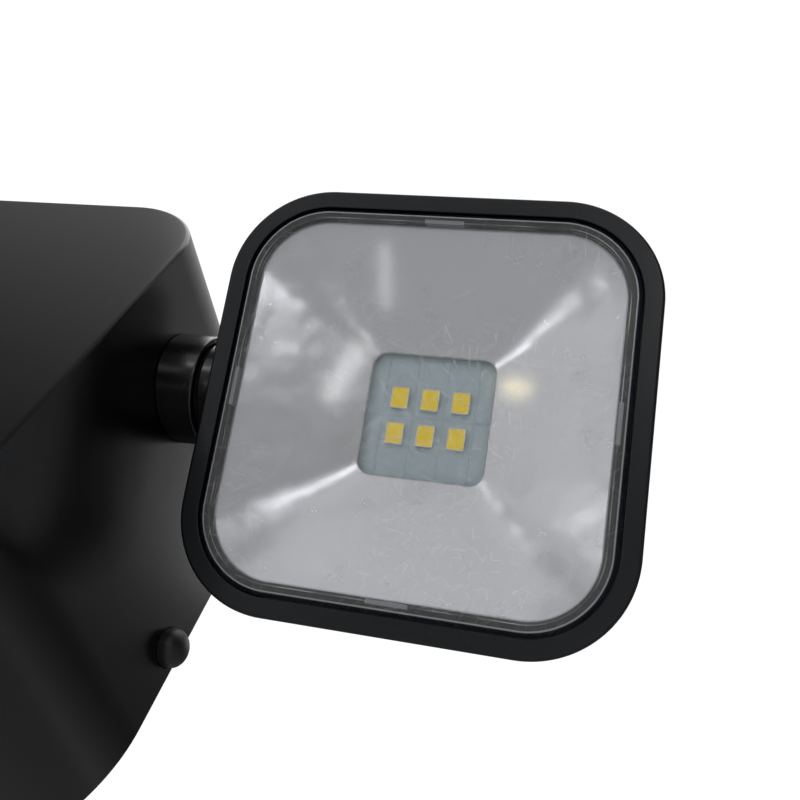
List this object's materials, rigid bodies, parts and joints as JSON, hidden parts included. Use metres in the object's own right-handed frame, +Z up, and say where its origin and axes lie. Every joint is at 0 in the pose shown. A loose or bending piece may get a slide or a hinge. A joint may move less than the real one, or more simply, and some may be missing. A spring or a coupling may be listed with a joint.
{
  "type": "solar flood light",
  "caption": "Wall light with a top solar panel, a motion sensor dome, two square lamp heads that tilt on side pivots, and a side push button.",
  "frame": {"origin": "middle of the wall bracket's back face, which lies on the wall", "axes": "+X right as seen from in front, along the line of the two heads; +Y towards the wall; +Z up"},
  "size_m": [0.396, 0.1048, 0.1498],
  "materials": {
    "black_plastic": "satin black moulded plastic with a fine grain",
    "bezel_plastic": "satin black moulded plastic, slightly smoother",
    "clear_lens": "clear polycarbonate with fine scratches",
    "reflector_coating": "satin silver-white coated reflector",
    "led_board": "pale blue-grey solder mask",
    "led_package": "yellow phosphor in a white frame",
    "aluminium": "pressed sheet",
    "steel": "zinc-plated steel",
    "tray_plastic": "black moulded plastic",
    "rubber": "matt black rubber",
    "button_rubber": "smooth black rubber",
    "circuit_board": "green circuit board",
    "battery_wrap": "blue sleeve on a metal cell",
    "panel_glass": "clear cover glass",
    "solar_cells": "dark blue cells with silver fingers",
    "sensor_dome": "milky lens sheet with fine rings"
  },
  "bodies": {
    "root": {"front_housing": "black_plastic", "rear_cover": "black_plastic", "rear_gasket": "rubber", "wall_bracket": "steel", "solar_panel_glass": "panel_glass", "solar_cell_sheet": "solar_cells", "pir_lens": "sensor_dome", "pir_ring": "black_plastic", "pir_sensor": "steel", "pir_board": "circuit_board", "control_board": "circuit_board", "battery_tray": "tray_plastic", "battery_cell_1": "battery_wrap", "battery_cell_2": "battery_wrap", "mode_switch": "tray_plastic", "switch_board": "circuit_board", "cover_screw_1": "steel", "cover_screw_2": "steel", "cover_screw_3": "steel", "cover_screw_4": "steel", "left_collar": "black_plastic", "left_collar_seal": "rubber", "left_friction_washer": "steel", "right_collar": "black_plastic", "right_collar_seal": "rubber", "right_friction_washer": "steel"},
    "left_head": {"left_rear_shell": "black_plastic", "left_pivot_tube": "tray_plastic", "left_pivot_nut": "steel", "left_bezel": "bezel_plastic", "left_lens": "clear_lens", "left_lens_gasket": "rubber", "left_reflector": "reflector_coating", "left_led_board": "led_board", "left_heat_spreader": "aluminium", "left_led_1": "led_package", "left_led_2": "led_package", "left_led_3": "led_package", "left_led_4": "led_package", "left_led_5": "led_package", "left_led_6": "led_package"},
    "right_head": {"right_rear_shell": "black_plastic", "right_pivot_tube": "tray_plastic", "right_pivot_nut": "steel", "right_bezel": "bezel_plastic", "right_lens": "clear_lens", "right_lens_gasket": "rubber", "right_reflector": "reflector_coating", "right_led_board": "led_board", "right_heat_spreader": "aluminium", "right_led_1": "led_package", "right_led_2": "led_package", "right_led_3": "led_package", "right_led_4": "led_package", "right_led_5": "led_package", "right_led_6": "led_package"},
    "mode_button": {"mode_button": "button_rubber"}
  },
  "joints": [
    {"name": "left_head_tilt", "type": "hinge", "parent": "root", "child": "left_head", "pos_m": [-0.148, -0.0585, 0.0327], "axis": [1, 0, 0], "range_deg": [-67.7, 52.3]},
    {"name": "right_head_tilt", "type": "hinge", "parent": "root", "child": "right_head", "pos_m": [0.148, -0.0585, 0.0327], "axis": [1, 0, 0], "range_deg": [-67.7, 52.3]},
    {"name": "mode_button_press", "type": "slide", "parent": "root", "child": "mode_button", "axis": [-0.9962, 0.0867, 0], "range_m": [0, 0.0007], "stiffness_N_per_m": 600, "springref_m": -0.001}
  ]
}
